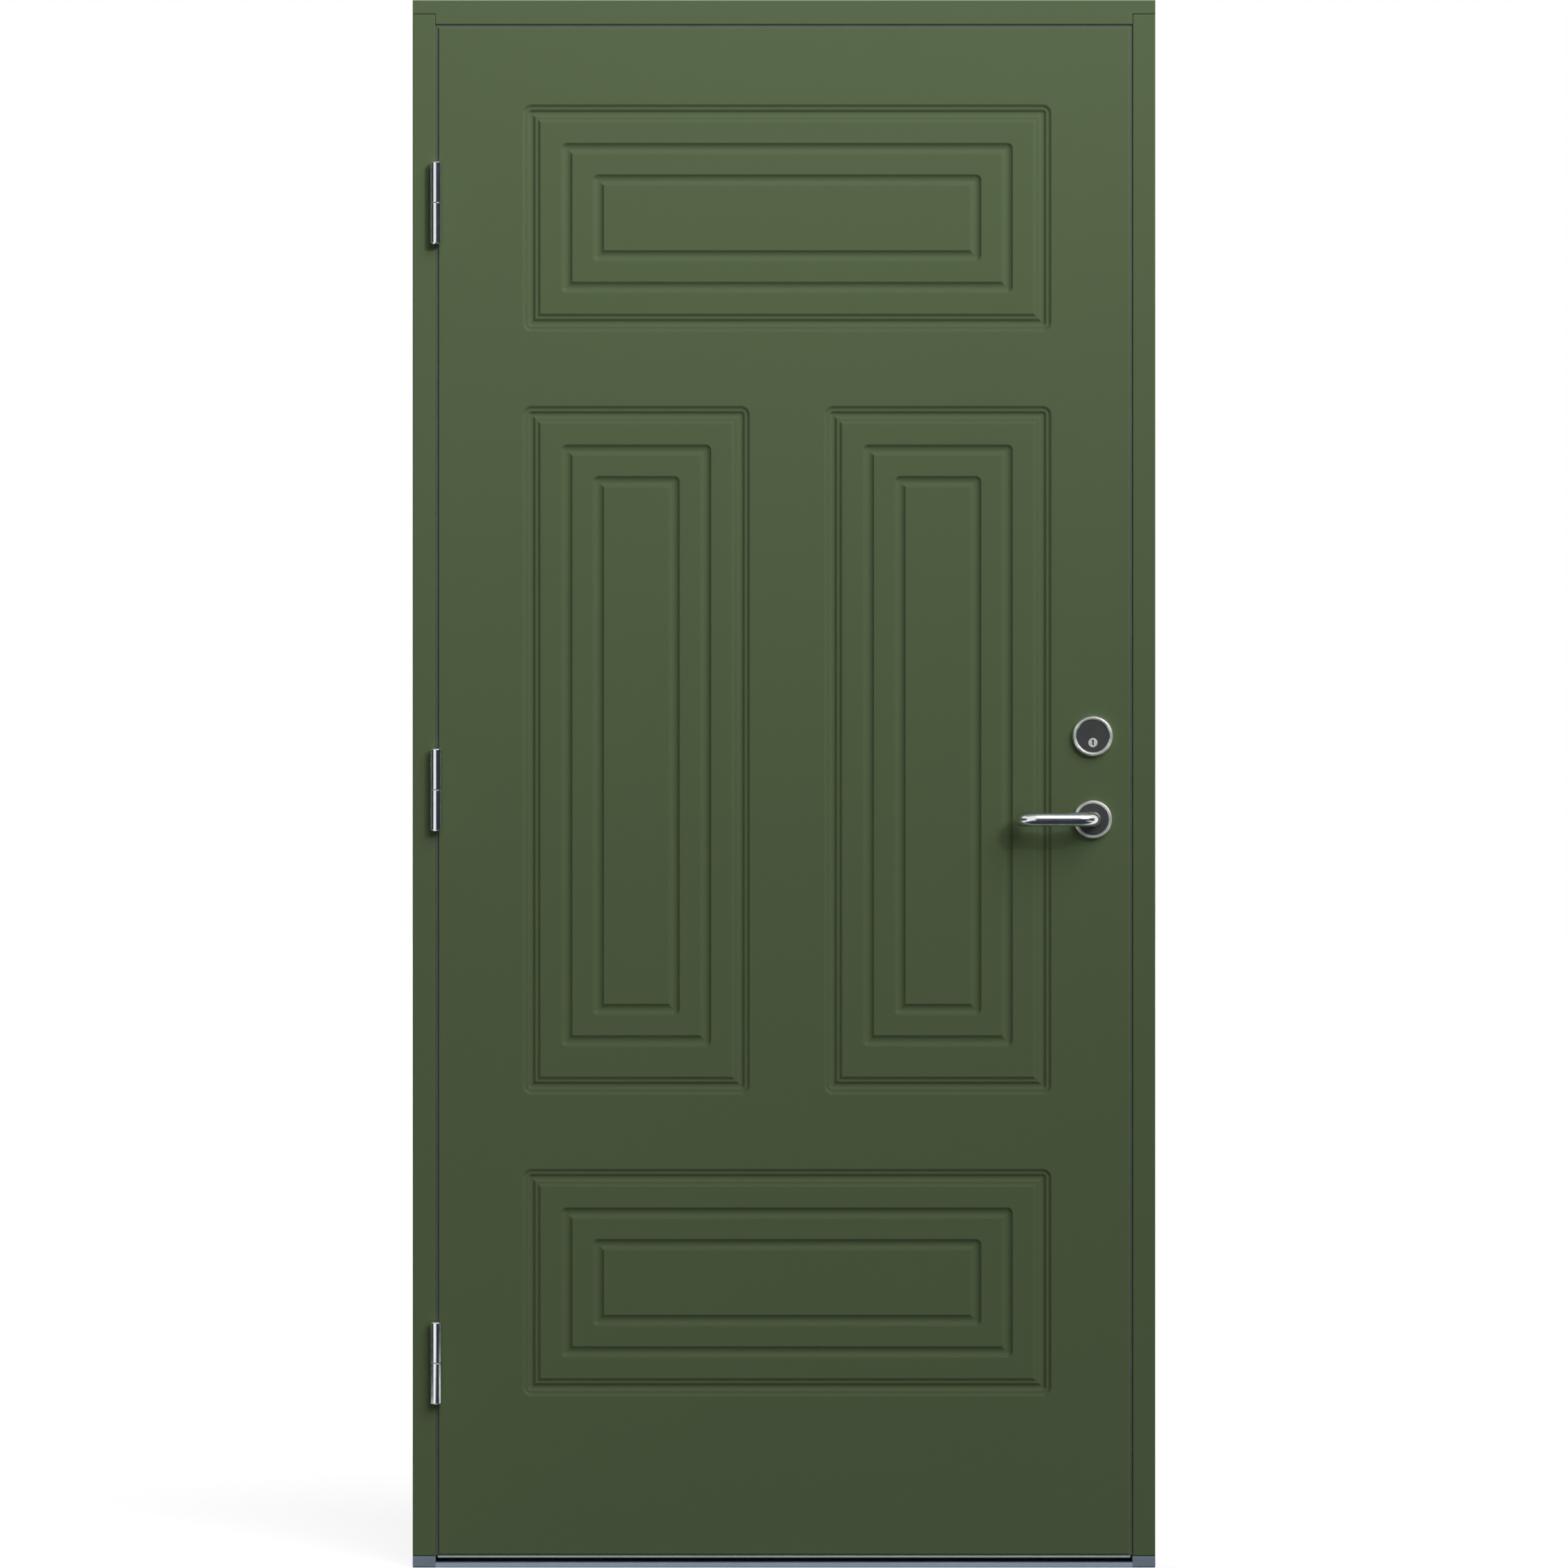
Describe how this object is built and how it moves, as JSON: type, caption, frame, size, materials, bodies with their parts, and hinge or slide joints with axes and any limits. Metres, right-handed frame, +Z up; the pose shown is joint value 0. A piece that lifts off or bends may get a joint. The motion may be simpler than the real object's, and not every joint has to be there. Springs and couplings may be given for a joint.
{
  "type": "panelled front door",
  "caption": "Outward-opening panelled front door leaf with stepped and coved mouldings, hung in its rebated frame with lift-off hinges, lever handles, a latch, a deadbolt and a threshold.",
  "frame": {"origin": "middle of the sill's underside, at mid width and mid depth of the frame", "axes": "+X towards the lock side, -Y towards the outside of the house, +Z up"},
  "size_m": [0.99, 0.175, 2.09],
  "materials": {
    "paint": "satin sage-green paint on wood",
    "timber": "planed softwood",
    "insulation": "rigid insulation foam",
    "aluminium": "satin anodised",
    "grey_plastic": "matt moulded",
    "black_plastic": "matt moulded",
    "rubber": "soft matt",
    "slate_rubber": "soft matt slate grey",
    "chrome": "polished",
    "dark_metal": "satin dark grey",
    "steel": "zinc plated"
  },
  "bodies": {
    "frame": {"hinge_jamb": "paint", "lock_jamb": "paint", "frame_head": "paint", "sill": "aluminium", "hinge_side_foot": "grey_plastic", "lock_side_foot": "grey_plastic", "hinge_side_seal": "rubber", "lock_side_seal": "rubber", "head_seal": "rubber", "sill_seal": "rubber", "strike_plate": "steel", "strike_boxes": "black_plastic", "strike_screws": "steel", "frame_screws": "steel", "fixing_sleeves": "steel", "top_hinge_frame_half": "chrome", "middle_hinge_frame_half": "chrome", "bottom_hinge_frame_half": "chrome", "hinge_pins": "steel", "hinge_bearing_rings": "black_plastic", "hinge_frame_screws": "steel"},
    "leaf": {"outer_facing": "paint", "inner_facing": "paint", "hinge_stile": "timber", "lock_stile": "timber", "top_rail": "timber", "bottom_rail": "timber", "insulation_core": "insulation", "drip_rail": "aluminium", "drip_rail_screws": "steel", "edge_seal": "slate_rubber", "top_hinge_leaf_half": "chrome", "middle_hinge_leaf_half": "chrome", "bottom_hinge_leaf_half": "chrome", "hinge_leaf_screws": "steel", "lock_case": "steel", "lock_cover": "steel", "lock_forend": "steel", "forend_screws": "steel", "outer_rose": "chrome", "outer_rose_plate": "dark_metal", "inner_rose": "chrome", "inner_rose_plate": "dark_metal", "handle_bolts": "steel", "cylinder_ring": "chrome", "cylinder_body": "dark_metal", "cylinder_screws": "steel", "thumb_turn_rose": "chrome", "latch_spring": "steel"},
    "handle": {"outer_lever": "chrome", "inner_lever": "chrome", "spindle": "steel", "follower": "steel", "lever_grub_screws": "steel"},
    "latch": {"latch_bolt": "steel"},
    "bolt": {"deadbolt": "steel"},
    "turn": {"thumb_turn": "chrome", "bolt_cam": "steel"},
    "plug": {"cylinder_plug": "chrome"}
  },
  "joints": [
    {"name": "leaf_swing", "type": "hinge", "parent": "frame", "child": "leaf", "pos_m": [-0.463, -0.0665, 1.0375], "axis": [0, 0, -1], "range_deg": [0, 170]},
    {"name": "handle_turn", "type": "hinge", "parent": "leaf", "child": "handle", "pos_m": [0.4115, -0.0265, 0.998], "axis": [0, -1, 0], "range_deg": [0, 45], "stiffness_Nm_per_rad": 1.5, "springref_deg": -40.11},
    {"name": "latch_slide", "type": "slide", "parent": "leaf", "child": "latch", "axis": [-1, 0, 0], "range_m": [0, 0.012], "deforming": ["latch_spring"]},
    {"name": "thumb_turn", "type": "hinge", "parent": "leaf", "child": "turn", "pos_m": [0.4115, 0.0125, 1.1], "axis": [0, -1, 0], "range_deg": [0, 90]},
    {"name": "bolt_slide", "type": "slide", "parent": "leaf", "child": "bolt", "axis": [1, 0, 0], "range_m": [0, 0.02]},
    {"name": "plug_turn", "type": "hinge", "parent": "leaf", "child": "plug", "pos_m": [0.4115, -0.064, 1.1], "axis": [0, -1, 0], "range_deg": [-90, 90]}
  ],
  "couplings": [
    {"joint": "latch_slide", "follows": "handle_turn", "m_per_rad": 0.015279},
    {"joint": "bolt_slide", "follows": "thumb_turn", "m_per_rad": 0.012732}
  ]
}
